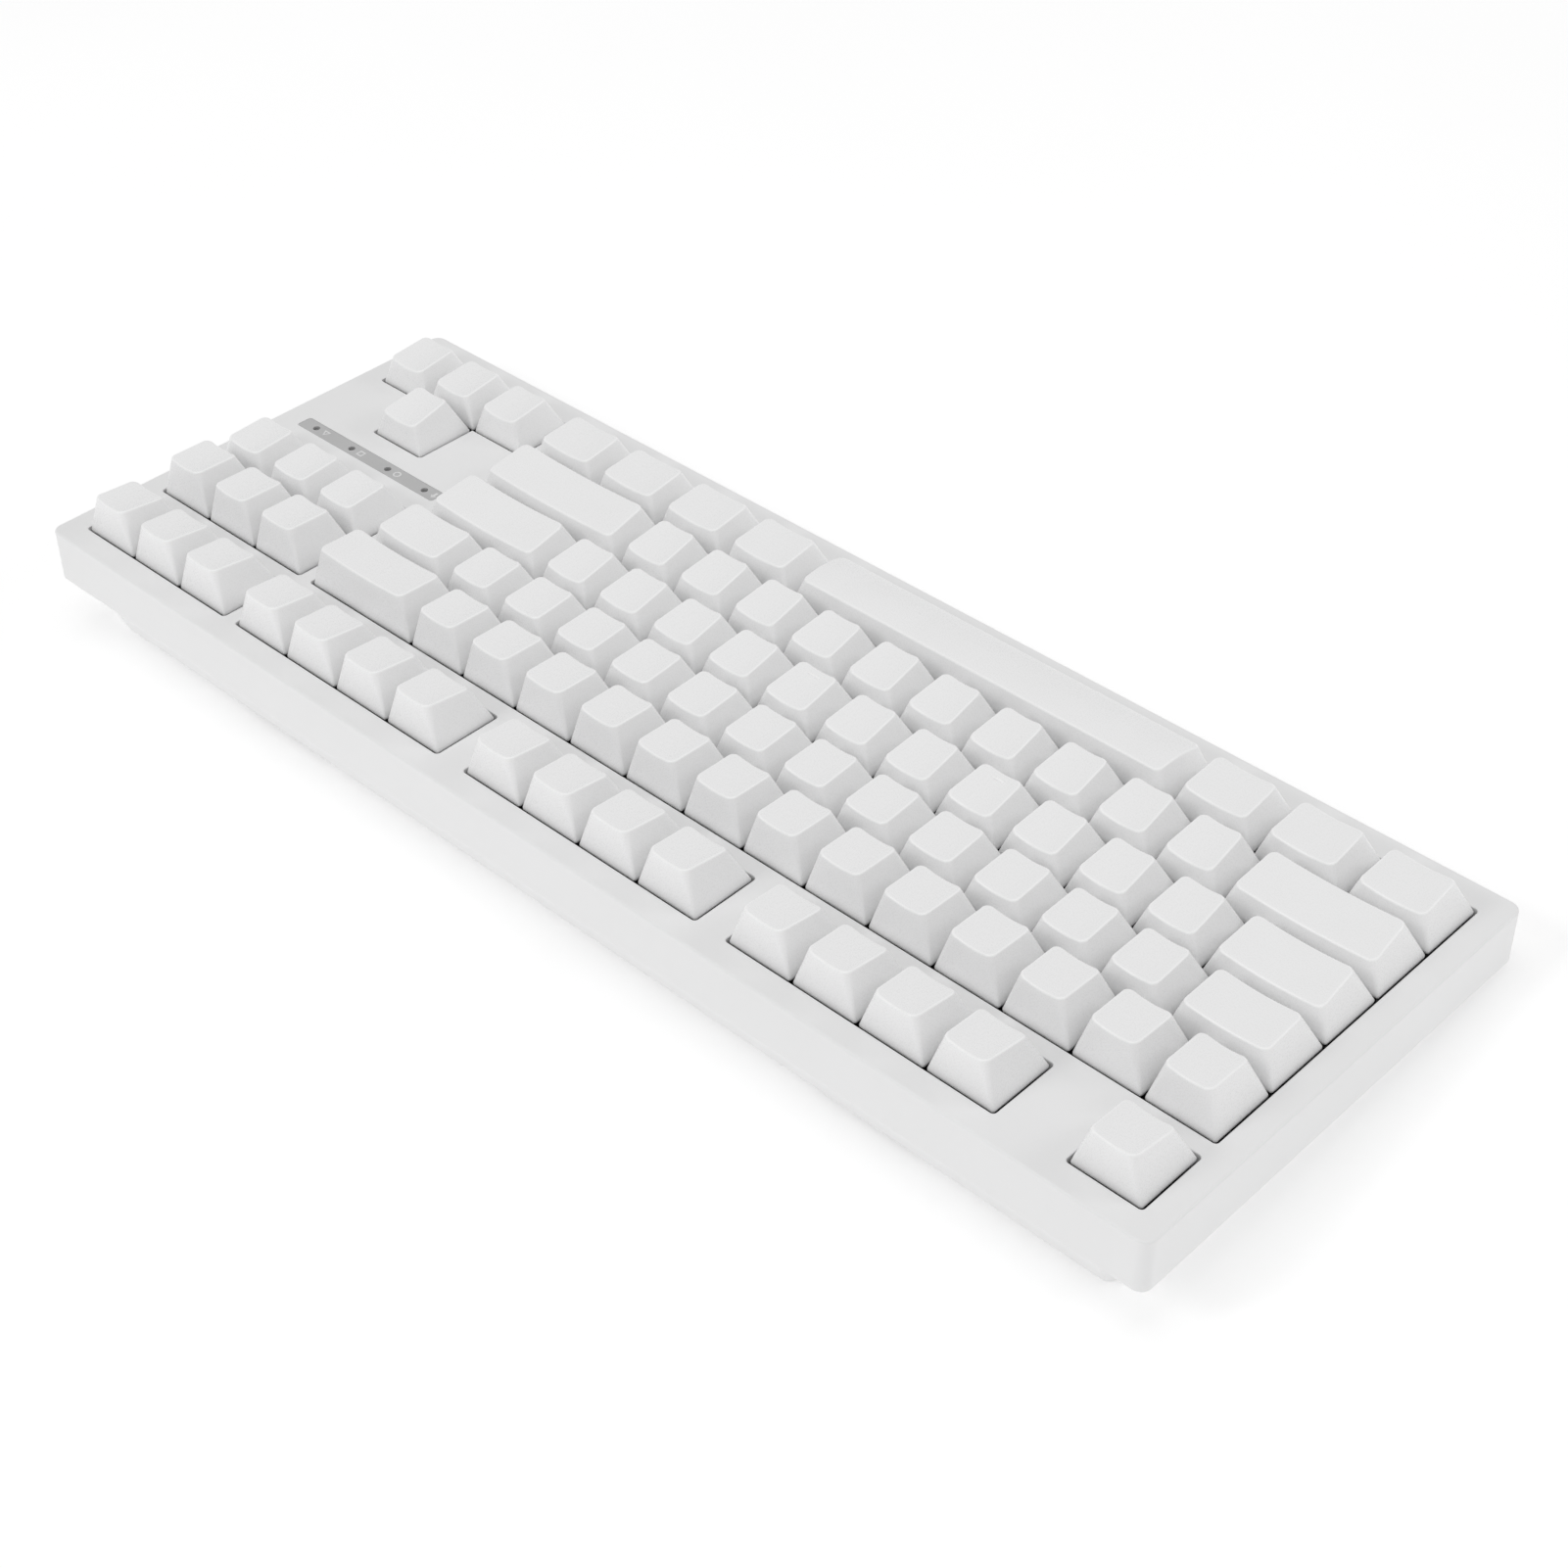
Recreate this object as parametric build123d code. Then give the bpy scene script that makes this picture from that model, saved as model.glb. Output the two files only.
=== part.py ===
from build123d import *
import math
import os

# A tenkeyless mechanical keyboard: 87 keys, a two-part plastic case, a steel switch plate and a
# circuit board. Everything is drawn in the deck frame: +X right, +Y to the back, +Z square to the deck,
# with the origin on the deck's surface at the front left corner of the key field. `to_desk` then tips the
# deck up by the typing angle and stands the keyboard on the desk, with the desk frame's origin under the
# middle of the case. All sizes are millimetres and degrees.

# Key field
key_pitch = 19.05                 # centre to centre of two keys that are one unit wide
row_count = 6                     # front row to function row
main_block_units = 15.0           # width of the block of letters, numbers and modifiers
cluster_gap_units = 0.25          # gap between the main block and the navigation cluster
cluster_units = 3.0               # width of the navigation cluster
function_row_gap = 5.1            # extra gap between the number row and the function row
field_width = (main_block_units + cluster_gap_units + cluster_units) * key_pitch
field_depth = row_count * key_pitch + function_row_gap

# Case
typing_angle = 6.0
side_margin = 7.0                 # key field to the case's side walls
front_margin = 8.0
rear_margin = 7.1
band_height = 14.8                # height of the upright wall around the top case
case_corner_radius = 3.0
rim_radius = 0.6                  # rounding where the deck meets the walls
band_lower_radius = 0.4
case_wall = 2.2
deck_thickness = 2.5
opening_clearance = 0.3           # key field cell to the edge of its opening
opening_corner_radius = 1.0
opening_bevel = 0.15              # bevel of the deck's edge around each opening
skirt_wall = 1.5                  # wall that hangs down around each key opening
skirt_bottom = -5.7

# Base, the tapered tub under the band
base_inset = 2.5                  # band wall to the base at the front and back
base_side_inset = 7.6             # band wall to the base at the sides
base_draft = 22.5                 # how far its walls lean in
base_corner_radius = 8.5          # at the top of its walls; it gets smaller down the draft
front_depth = 16.8                # deck to underside at the front edge of the key field
rubber_height = 1.5               # how far the rubber feet stand out of the underside
shell_gap = 0.15                  # between the top case's walls and the shoulder inside them
base_floor = 2.0

# Levels inside, all along deck Z
cap_bottom = -0.9
skirt_top = -0.2                  # a cap's sides are upright below this and lean in above it
plate_top = -6.0
plate_thickness = 1.5
board_top = plate_top - 5.0
board_thickness = 1.6
board_bottom = board_top - board_thickness
key_travel = 4.0

# Keycaps: the height of each row's rear and front top edge, from the front row to the function row
cap_edge_heights = [(8.3, 9.8), (7.6, 10.1), (7.5, 9.6), (8.9, 9.8), (11.6, 11.2), (11.3, 9.8)]
cap_side_gap = 0.425              # cell edge to cap
cap_rear_top = 8.3                # cap centre to its rear top edge
cap_front_top = -4.8
space_bar_front_top = -7.3
space_bar_heights = (8.3, 7.0)
crown_height = 1.0                # how far the space bar's top rises above the line between its edges
cap_top_inset = 3.1               # how far the sides lean in, at the mean height of the top
cap_corner_radius = 1.8
cap_wall = 1.3
cap_roof = 1.4
dish_depth = 0.8
post_radius = 2.75
post_bottom = 0.7
cross_length = 4.0
cross_width = 1.2
cross_top = 4.2
cross_gap = 0.05

# Switches and stabilizers
plate_hole = 14.0
switch_body = 13.9
stem_guide = (7.6, 6.4)           # opening in the switch cover
slider_top = -0.8
slider_bottom = -5.9
switch_floor = -10.2
contact_pins = [(2.54, 5.08), (-3.81, 2.54)]
pin_radius = 0.5
spring_radius = 2.1
stabilized = {"backspace_key": 11.94, "enter_key": 11.94, "left_shift_key": 11.94,
              "right_shift_key": 11.94, "space_bar": 50.0}
wire_radius = 0.7
wire_arm = 9.0                    # from the wire's pivot to its ends
wire_pivot_z = -9.9
wire_end_z = wire_pivot_z + key_travel
stabilizer_top = -3.6

# Indicator strip, in front of the navigation keys
strip_size = (55.8, 4.6)
strip_thickness = 1.4
strip_y = 47.75
lamp_spacing = 15.0
lamp_radius = 0.95

# USB port in the back of the base
port_x = 166.8
port_recess = (13.0, 5.1)         # width and height
port_recess_top = -15.2
port_middle = port_recess_top - port_recess[1] / 2
port_floor_y = 116.4              # how far in the recess goes
socket_size = (8.94, 3.16)        # outside of the socket's steel shell
socket_depth = 7.3
socket_wall = 0.3

# Case screws, driven up from the underside
screw_radius = 1.2
screw_head_radius = 2.2
screw_head_bottom = -16.0
screw_head_height = 1.6
screw_top = -4.2
inner_boss_radius = 2.6           # posts under the deck, behind the key openings
front_boss_radius = 2.2
standoff_radius = 3.05            # posts on the base's floor

# Feet under the base, in the desk frame
tilt_foot_x = 140.0
tilt_hinge_y = 52.0
tilt_hinge_z = rubber_height + 2.3
tilt_foot_size = (22.0, 22.0, 3.8)
tilt_barrel_radius = 2.1
tilt_pin_radius = 1.2
tilt_side_gap = 0.3
rubber_size = (30.0, 9.0)
rubber_places = [(-145, -53), (145, -53), (-100, 53), (100, 53)]

case_left = -side_margin
case_right = field_width + side_margin
case_front = -front_margin
case_rear = field_depth + rear_margin
mid_x = field_width / 2
cluster_x = (main_block_units + cluster_gap_units + cluster_units / 2) * key_pitch
mid_y = (case_front + case_rear) / 2
case_size = (case_right - case_left, case_rear - case_front)

tip = math.radians(typing_angle)
front_reach = (case_front + rim_radius) * math.cos(tip) + rim_radius * math.sin(tip) - rim_radius
rear_reach = ((case_rear - band_lower_radius) * math.cos(tip)
              + (band_height - band_lower_radius) * math.sin(tip) + band_lower_radius)
to_desk = Pos(-mid_x, -(front_reach + rear_reach) / 2, front_depth * math.cos(tip) + rubber_height)
to_desk = to_desk * Rot(X=typing_angle)


def underside_z(y):
    """Deck Z of the base's flat underside at a deck Y."""
    return -front_depth - y * math.tan(tip)


def letters(text):
    return [("key_" + letter, 1) for letter in text]


# Each row, front to back, left to right: a pair is a key's node and its width in units, a number is a gap.
rows = [
    [("modifier_keys", 1.25)] * 3 + [("space_bar", 6.25)] + [("modifier_keys", 1.25)] * 4
    + [cluster_gap_units] + [("arrow_keys", 1)] * 3,
    [("left_shift_key", 2.25)] + letters("zxcvbnm") + [("punctuation_keys", 1)] * 3
    + [("right_shift_key", 2.75), cluster_gap_units + 1, ("arrow_keys", 1)],
    [("modifier_keys", 1.75)] + letters("asdfghjkl") + [("punctuation_keys", 1)] * 2 + [("enter_key", 2.25)],
    [("modifier_keys", 1.5)] + letters("qwertyuiop") + [("punctuation_keys", 1)] * 2
    + [("punctuation_keys", 1.5), cluster_gap_units] + [("navigation_keys", 1)] * 3,
    [("number_keys", 1)] * 13 + [("backspace_key", 2), cluster_gap_units] + [("navigation_keys", 1)] * 3,
    [("escape_key", 1), 1] + [("function_keys", 1)] * 4 + [0.5] + [("function_keys", 1)] * 4 + [0.5]
    + [("function_keys", 1)] * 4 + [cluster_gap_units] + [("navigation_keys", 1)] * 3,
]

# Openings in the deck: left and right edge in key units, first and last row
openings = [(0, 15, 0, 4), (15.25, 18.25, 3, 4), (16.25, 17.25, 1, 1), (15.25, 18.25, 0, 0),
            (0, 1, 5, 5), (2, 6, 5, 5), (6.5, 10.5, 5, 5), (11, 15, 5, 5), (15.25, 18.25, 5, 5)]


def row_front(row):
    """Deck Y of a row's front edge."""
    return row * key_pitch + (function_row_gap if row == row_count - 1 else 0)


def row_middle(row):
    return row_front(row) + key_pitch / 2


def key_places():
    """Every key as (node, width in units, row, deck X, deck Y)."""
    places = []
    for row, entries in enumerate(rows):
        edge = 0
        for entry in entries:
            if isinstance(entry, tuple):
                node, width = entry
                places.append((node, width, row, (edge + width / 2) * key_pitch, row_middle(row)))
                edge += width
            else:
                edge += entry
    return places


keys = key_places()
switch_places = [Pos(x, y, 0) for _, _, _, x, y in keys]
stabilizer_places = [Pos(x + side * stabilized[node], y, 0) for node, _, _, x, y in keys
                     if node in stabilized for side in (-1, 1)]
inner_screws = [(1.5 * key_pitch, row_middle(5)), (6.25 * key_pitch, row_middle(5)),
                (10.75 * key_pitch, row_middle(5)), (15.75 * key_pitch, row_middle(1)),
                (17.75 * key_pitch, row_middle(1))]
front_screws = [(units * key_pitch, -2.55) for units in (2, 12, 17)]
screw_places = inner_screws + front_screws


def slab(size_x, size_y, low, high, x=0.0, y=0.0):
    """Upright box centred on (x, y) between two levels."""
    return Pos(x, y, (low + high) / 2) * Box(size_x, size_y, high - low)


def rod(radius, low, high, x=0.0, y=0.0):
    """Upright cylinder centred on (x, y) between two levels."""
    return Pos(x, y, (low + high) / 2) * Cylinder(radius, high - low)


def rounded_slab(size_x, size_y, radius, low, high, x=0.0, y=0.0):
    return extrude(Pos(x, y, low) * RectangleRounded(size_x, size_y, radius), high - low)


def group(solids):
    """One node made of separate solids."""
    return Compound([solid for shape in solids for solid in shape.solids()])


def in_every_switch(shape):
    return group([place * shape for place in switch_places])


def opening_slab(opening, extra, low, high):
    left, right, first, last = opening
    grow = opening_clearance + extra
    size_x = (right - left) * key_pitch + 2 * grow
    size_y = row_front(last) - row_front(first) + key_pitch + 2 * grow
    x = (left + right) / 2 * key_pitch
    y = (row_front(first) + row_front(last) + key_pitch) / 2
    return rounded_slab(size_x, size_y, opening_corner_radius, low, high, x, y)


# ------------------------------------------------------------------ case

def lamp_places():
    return [(cluster_x + step * lamp_spacing, strip_y) for step in (-1.5, -0.5, 0.5, 1.5)]


def make_top_case():
    shell = slab(*case_size, -band_height, 0, mid_x, mid_y)
    shell = fillet(shell.edges().filter_by(Axis.Z), case_corner_radius)
    shell = fillet(shell.faces().sort_by(Axis.Z)[-1].edges(), rim_radius)
    shell = fillet(shell.faces().sort_by(Axis.Z)[0].edges(), band_lower_radius)
    shell -= rounded_slab(case_size[0] - 2 * case_wall, case_size[1] - 2 * case_wall,
                          case_corner_radius - case_wall, -band_height, -deck_thickness, mid_x, mid_y)
    for opening in openings:
        shell += opening_slab(opening, skirt_wall, skirt_bottom, -deck_thickness)
    for x, y in inner_screws:
        shell += rod(inner_boss_radius, plate_top, -deck_thickness, x, y)
    for x, y in front_screws:
        shell += rod(front_boss_radius, board_bottom, -deck_thickness, x, y)
    for opening in openings:
        shell -= opening_slab(opening, 0, skirt_bottom - 1, 1)
    shell = chamfer(shell.faces().sort_by(Axis.Z)[-1].inner_wires().edges(), opening_bevel)
    for x, y in screw_places:
        shell -= rod(screw_radius + 0.05, board_bottom - 1, screw_top + 0.4, x, y)
    shell -= rounded_slab(strip_size[0] + 0.2, strip_size[1] + 0.2, 0.9, -strip_thickness - 0.1, 1,
                          cluster_x, strip_y)
    for x, y in lamp_places():
        shell -= rod(lamp_radius + 0.15, -deck_thickness - 1, 0, x, y)
    return shell


def base_outline(wall):
    """Outline of the top of the base's walls, drawn in by a wall thickness."""
    size_x = case_size[0] - 2 * (base_side_inset + wall)
    size_y = case_size[1] - 2 * (base_inset + wall)
    return Pos(mid_x, mid_y, -band_height) * RectangleRounded(size_x, size_y, base_corner_radius - wall / 2)


def base_block(wall, floor):
    """Tapered block of the base, drawn in from its outside by a wall and a floor thickness."""
    block = extrude(base_outline(wall), -15.2, taper=base_draft)
    below = Plane(origin=(mid_x, 0, underside_z(0) + floor), z_dir=(0, -math.sin(tip), -math.cos(tip)))
    return block - extrude(below * Rectangle(2 * case_size[0], 4 * case_size[1]), 60)


def make_bottom_case():
    shoulder_inset = case_wall + shell_gap
    shoulder = rounded_slab(case_size[0] - 2 * shoulder_inset, case_size[1] - 2 * shoulder_inset,
                            case_corner_radius - case_wall, -band_height, board_bottom, mid_x, mid_y)
    mouth = extrude(base_outline(case_wall), band_height)
    outer = base_block(0, 0)
    case = shoulder + outer - base_block(case_wall, base_floor) - mouth
    for x, y in screw_places:
        case += rod(standoff_radius, underside_z(y) + base_floor / 2, board_bottom, x, y)
    # A block in the back wall leaves plastic all round the port's recess.
    low, high = port_recess_top - port_recess[1], port_recess_top
    block_front, block_rear = port_floor_y - 9.4, case_rear
    case += outer & slab(port_recess[0] + 2 * case_wall, block_rear - block_front,
                         low - base_floor, high + 0.8, port_x, (block_front + block_rear) / 2)
    for x, y in screw_places:
        case -= rod(screw_radius + 0.2, -40, 0, x, y)
        case -= rod(screw_head_radius + 0.2, -40, screw_head_bottom + screw_head_height, x, y)
    case -= slab(port_recess[0], 40, low, high, port_x, port_floor_y + 20)
    socket_hole = (socket_size[0] + 0.16, 20, port_middle - socket_size[1] / 2 - 0.07,
                   port_middle + socket_size[1] / 2 + 0.07)
    case -= slab(*socket_hole, port_x, port_floor_y)
    case = to_desk * case
    for side in (-1, 1):
        case += tilt_pocket(side * tilt_foot_x, base_floor)
    for side in (-1, 1):
        case -= tilt_pocket(side * tilt_foot_x, 0)
        case -= tilt_pins(side * tilt_foot_x, tilt_pin_radius + 0.05, 1.9)
    for x, y in rubber_places:
        case -= slab(rubber_size[0] + 0.2, rubber_size[1] + 0.2, 0, rubber_height + 0.6, x, y)
    return case


def make_usb_socket():
    width, height = socket_size
    mouth = Plane.XZ.offset(0.1 - port_floor_y) * Pos(port_x, port_middle)
    shell = extrude(mouth * RectangleRounded(width, height, 1.3), socket_depth)
    bore = mouth * RectangleRounded(width - 2 * socket_wall, height - 2 * socket_wall, 1.3 - socket_wall)
    shell -= extrude(bore, socket_depth - 2 * socket_wall)
    tongue = Pos(port_x, port_floor_y - 4.0, port_middle) * Box(6.7, 5.4, 0.7)
    return group([shell, tongue])


# ------------------------------------------------------------------ feet, in the desk frame

def tilt_pins(x, radius, reach):
    """The hinge pins, as one bar that stands out of both sides of a tilt foot."""
    length = tilt_foot_size[0] + 2 * (tilt_side_gap + reach)
    return Pos(x, tilt_hinge_y, tilt_hinge_z) * Rot(Y=90) * Cylinder(radius, length)


def tilt_pocket(x, wall):
    """Pocket that a tilt foot folds into, grown by a wall thickness."""
    front = tilt_hinge_y - tilt_foot_size[1] - 4.5 - wall
    rear = tilt_hinge_y + tilt_barrel_radius + 0.6 + wall
    low = rubber_height + (0.4 if wall else -1)
    high = tilt_hinge_z + tilt_barrel_radius + 0.3 + (wall and 1.6)
    width = tilt_foot_size[0] + 2 * (tilt_side_gap + wall)
    return slab(width, rear - front, low, high, x, (front + rear) / 2)


def make_tilt_foot(x):
    width, length, thickness = tilt_foot_size
    low = tilt_hinge_z - thickness / 2
    leaf = slab(width, length, low, low + thickness, x, tilt_hinge_y - length / 2)
    grip = Pos(x, tilt_hinge_y - length + 4, low) * Rot(Y=90) * Cylinder(1.2, width - 6)
    barrel = Pos(x, tilt_hinge_y, tilt_hinge_z) * Rot(Y=90) * Cylinder(tilt_barrel_radius, width)
    leaf = leaf + barrel + tilt_pins(x, tilt_pin_radius, 1.4) - grip
    sole = slab(width - 2, 1.4, tilt_hinge_z - 1.6, tilt_hinge_z + 1.6, x, tilt_hinge_y - length - 0.7)
    return group([leaf, sole])


def make_rubber_feet():
    return group([rounded_slab(*rubber_size, 2, 0, rubber_height + 0.6, x, y) for x, y in rubber_places])


# ------------------------------------------------------------------ keycaps and stems

def cap_profile(row, crowned):
    """A cap's rear and front top edges, each as Y from the cap's centre and height."""
    if crowned:
        return (cap_rear_top, space_bar_heights[0]), (space_bar_front_top, space_bar_heights[1])
    return (cap_rear_top, cap_edge_heights[row][0]), (cap_front_top, cap_edge_heights[row][1])


def cap_block(width_units, rear, front, wall, roof):
    """Block with sloping sides. wall and roof draw it in, for the hollow inside a cap."""
    half_width = width_units * key_pitch / 2 - cap_side_gap - wall
    half_depth = key_pitch / 2 - cap_side_gap - wall
    side = make_face(Polyline((-half_depth, skirt_top), (half_depth, skirt_top),
                              (rear[0] - wall, rear[1] - roof), (front[0] + wall, front[1] - roof),
                              close=True))
    slope = cap_top_inset / ((rear[1] + front[1]) / 2 - skirt_top)
    top = max(rear[1], front[1]) + 1
    inset = slope * (top - skirt_top)
    end = make_face(Polyline((-half_width, skirt_top), (half_width, skirt_top), (half_width - inset, top),
                             (inset - half_width, top), close=True))
    return extrude(Plane.YZ * side, half_width, both=True) & extrude(Plane.XZ * end, key_pitch, both=True)


def with_skirt(block):
    """Lengthen a block straight down, from its foot to the cap's bottom."""
    return block + extrude(block.faces().sort_by(Axis.Z)[0], skirt_top - cap_bottom)


def cap_top_line(rear, front):
    """Middle of a cap's top plane and the angle at which it climbs to the back."""
    climb = math.degrees(math.atan2(rear[1] - front[1], rear[0] - front[0]))
    return (rear[0] + front[0]) / 2, (rear[1] + front[1]) / 2, climb


def crown_cylinder(width_units, rear, front):
    """Cylinder along a cap, whose top passes through both top edges and rises between them."""
    y, z, climb = cap_top_line(rear, front)
    half_chord = math.dist(rear, front) / 2
    radius = (half_chord ** 2 + crown_height ** 2) / (2 * crown_height)
    return Pos(0, y, z) * Rot(X=climb) * Pos(0, 0, crown_height - radius) * Rot(Y=90) * Cylinder(
        radius, width_units * key_pitch)


def dish_cylinder(width_units, rear, front):
    """Cylinder from front to back, whose underside hollows a finger dish into a cap's top."""
    y, z, climb = cap_top_line(rear, front)
    half_width = width_units * key_pitch / 2 - cap_side_gap - cap_top_inset
    radius = (half_width ** 2 + dish_depth ** 2) / (2 * dish_depth)
    return Pos(0, y, z) * Rot(X=climb) * Pos(0, 0, radius - dish_depth) * Rot(X=90) * Cylinder(radius, 40)


def cross(low, high, gap, x):
    return (slab(cross_length + 2 * gap, cross_width + 2 * gap, low, high, x)
            + slab(cross_width + 2 * gap, cross_length + 2 * gap, low, high, x))


def make_keycap(width_units, row, post_places, crowned, homing):
    rear, front = cap_profile(row, crowned)
    # The crown rises above the edges, so the block it is cut from stands that much taller.
    block = cap_block(width_units, rear, front, 0, -2 * crown_height if crowned else 0)
    uprights = block.edges().filter_by(lambda edge: edge.bounding_box().size.Z > 5)
    outer = with_skirt(fillet(uprights, cap_corner_radius))
    if crowned:
        outer &= crown_cylinder(width_units, rear, front)
    else:
        outer -= dish_cylinder(width_units, rear, front)
    cap = outer - with_skirt(cap_block(width_units, rear, front, cap_wall, cap_roof + dish_depth))
    for x in post_places:
        cap += rod(post_radius, post_bottom, rear[1], x) & outer
        cap -= cross(post_bottom - 1, cross_top + 0.2, cross_gap, x)
    if homing:
        y, z, climb = cap_top_line(rear, front)
        bar_y = -2.6
        bar_z = z + (bar_y - y) * math.tan(math.radians(climb)) - dish_depth
        cap += Pos(0, bar_y, bar_z) * Box(4.2, 0.8, 0.9)
    return cap


def make_switch_stem():
    """Slider of a switch, hollow below for the spring, with the cross that holds the keycap."""
    stem = slab(9, 7, slider_bottom, slider_top) + slab(7.0, 5.8, slider_top, 0.6)
    return stem + cross(0.6, cross_top, 0, 0) - rod(spring_radius + 0.2, slider_bottom - 1, -1.5)


def make_stabilizer_stem(x):
    stem = slab(4.4, 7, wire_end_z - 0.8, 0.6, x, 0.5) + cross(0.6, cross_top, 0, x)
    return stem - slab(1.9, 20, -20, wire_end_z + 1.0, x)


def make_key(node, width_units, row, made):
    """A cap with its stems at the origin. Keys of the same shape are made once and kept in `made`."""
    shape = (width_units, row, node == "space_bar", node in stabilized, node in ("key_f", "key_j"))
    if shape not in made:
        post_places = [0]
        if node in stabilized:
            post_places += [-stabilized[node], stabilized[node]]
        cap = make_keycap(width_units, row, post_places, shape[2], shape[4])
        made[shape] = [cap, make_switch_stem()] + [make_stabilizer_stem(x) for x in post_places[1:]]
    return made[shape]


# ------------------------------------------------------------------ switches, plate and board

def make_switch_base():
    base = slab(switch_body, switch_body, board_top, plate_top) + slab(15.6, 15.6, plate_top, plate_top + 1)
    base -= slab(11, 10.1, switch_floor, 0, 0, 0.55)
    base += rod(1.6, switch_floor, -7.4) + rod(1.95, board_bottom - 1.6, board_top)
    for x, y in contact_pins:
        base -= rod(pin_radius + 0.05, board_top - 1, switch_floor + 1, x, y)
    return base


def make_switch_cover():
    low = plate_top + 1
    cover = loft([Pos(0, 0, low) * Rectangle(14, 14), Pos(0, 0, 0.6) * Rectangle(11, 9.2)])
    return cover - slab(9.8, 9.2, low, -0.6) - slab(*stem_guide, -1, 1)


def make_switch_contacts():
    low = board_bottom - 1.5
    pins = [rod(pin_radius, low, switch_floor + 0.2, x, y) for x, y in contact_pins]
    fixed = pins[0] + slab(3, 0.3, switch_floor, -5.6, 2.6, 5.08)
    foot = slab(0.8, 2.5, switch_floor, -10, -3.81, 3.5)
    moving = pins[1] + foot + slab(3, 0.3, switch_floor, -5.6, -2.7, 4.6)
    return group([fixed, moving])


def make_switch_spring():
    return rod(spring_radius, switch_floor + 0.05, -1.55) - rod(spring_radius - 0.25, switch_floor - 1, 0)


def make_stabilizer_housing(side):
    """side is -1 for a key's left housing and 1 for its right one: the clip faces the key's middle."""
    housing = slab(6.4, 13, board_top, stabilizer_top, 0, -0.4) - slab(4.8, 7.6, -20, 0, 0, 0.5)
    housing -= slab(2.0, 8, -20, wire_end_z, 0, -6.5)
    clip = slab(1.4, 3.6, board_top + 0.05, wire_pivot_z + 1.1, -side * 2.5, -wire_arm + 0.5)
    bore = Pos(-side * 2.5, -wire_arm, wire_pivot_z) * Rot(Y=90) * Cylinder(wire_radius + 0.06, 4)
    return housing + clip - bore


def make_stabilizer_wire(reach):
    """Wire that joins both ends of a long key, bent from one rod."""
    end_y = math.sqrt(wire_arm ** 2 - (wire_end_z - wire_pivot_z) ** 2) - wire_arm
    path = FilletPolyline((-reach, end_y, wire_end_z), (-reach, -wire_arm, wire_pivot_z),
                          (reach, -wire_arm, wire_pivot_z), (reach, end_y, wire_end_z), radius=1.5)
    start = Plane(origin=path @ 0, z_dir=path % 0)
    return sweep(start * Circle(wire_radius), path=path)


def sheet(low, high):
    """Outline that the plate and the board share."""
    size_x = field_width + 2
    front_edge = 0.6
    rear_edge = field_depth + 0.6
    return rounded_slab(size_x, rear_edge - front_edge, 2, low, high, mid_x, (front_edge + rear_edge) / 2)


def make_switch_plate():
    low = plate_top - plate_thickness
    cuts = [place * slab(plate_hole, plate_hole, low - 1, plate_top + 1) for place in switch_places]
    cuts += [place * slab(6.6, 13.4, low - 1, plate_top + 1, 0, -0.4) for place in stabilizer_places]
    cuts += [rod(1.6, low - 1, plate_top + 1, x, y) for x, y in inner_screws]
    cuts += [rod(lamp_radius + 0.25, low - 1, plate_top + 1, x, y) for x, y in lamp_places()]
    return sheet(low, plate_top) - cuts


def make_circuit_board():
    low = board_bottom - 1
    high = board_top + 1
    cuts = [place * rod(2.0, low, high) for place in switch_places]
    cuts += [place * rod(pin_radius + 0.25, low, high, x, y)
             for place in switch_places for x, y in contact_pins]
    cuts += [rod(1.6, low, high, x, y) for x, y in inner_screws]
    return sheet(board_bottom, board_top) - cuts


def make_board_components():
    """The controller chip and one diode for each switch, on the board's underside."""
    controller = slab(9, 9, board_bottom - 1.2, board_bottom, cluster_x, strip_y - 6)
    diode = slab(2.7, 1.4, board_bottom - 1.1, board_bottom, 4.5, -6.2)
    return group([controller] + [place * diode for place in switch_places])


def make_indicator_window():
    window = rounded_slab(*strip_size, 0.8, -strip_thickness - 0.05, -0.05, cluster_x, strip_y)
    for x, y in lamp_places():
        window -= rod(lamp_radius + 0.05, -5, 1, x, y)
    return window


def make_indicator_lamps():
    dome_z = -0.4 - lamp_radius
    lamp = rod(lamp_radius, board_top, dome_z) + Pos(0, 0, dome_z) * Sphere(lamp_radius)
    return group([Pos(x, y, 0) * lamp for x, y in lamp_places()])


def make_case_screws():
    neck = screw_head_bottom + screw_head_height
    screw = rod(screw_head_radius, screw_head_bottom, neck) + rod(screw_radius, neck, screw_top)
    screw -= rod(0.8, screw_head_bottom - 1, screw_head_bottom + 0.9)
    return group([Pos(x, y, 0) * screw for x, y in screw_places])


# ------------------------------------------------------------------ assembly

def collect_keys():
    """Every key node, with all the keys that it holds."""
    made = {}
    nodes = {}
    for node, width_units, row, x, y in keys:
        parts = [Pos(x, y, 0) * part for part in make_key(node, width_units, row, made)]
        nodes.setdefault(node, []).extend(parts)
    return {node: group(parts) for node, parts in nodes.items()}


def collect_wires():
    wires = {}
    for node, _, _, x, y in keys:
        if node in stabilized:
            name = node.replace("_key", "") + "_wire"
            wires[name] = Pos(x, y, 0) * make_stabilizer_wire(stabilized[node])
    return wires


def collect_stabilizer_housings():
    housings = [make_stabilizer_housing(-1), make_stabilizer_housing(1)]
    return group([place * housings[index % 2] for index, place in enumerate(stabilizer_places)])


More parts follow.
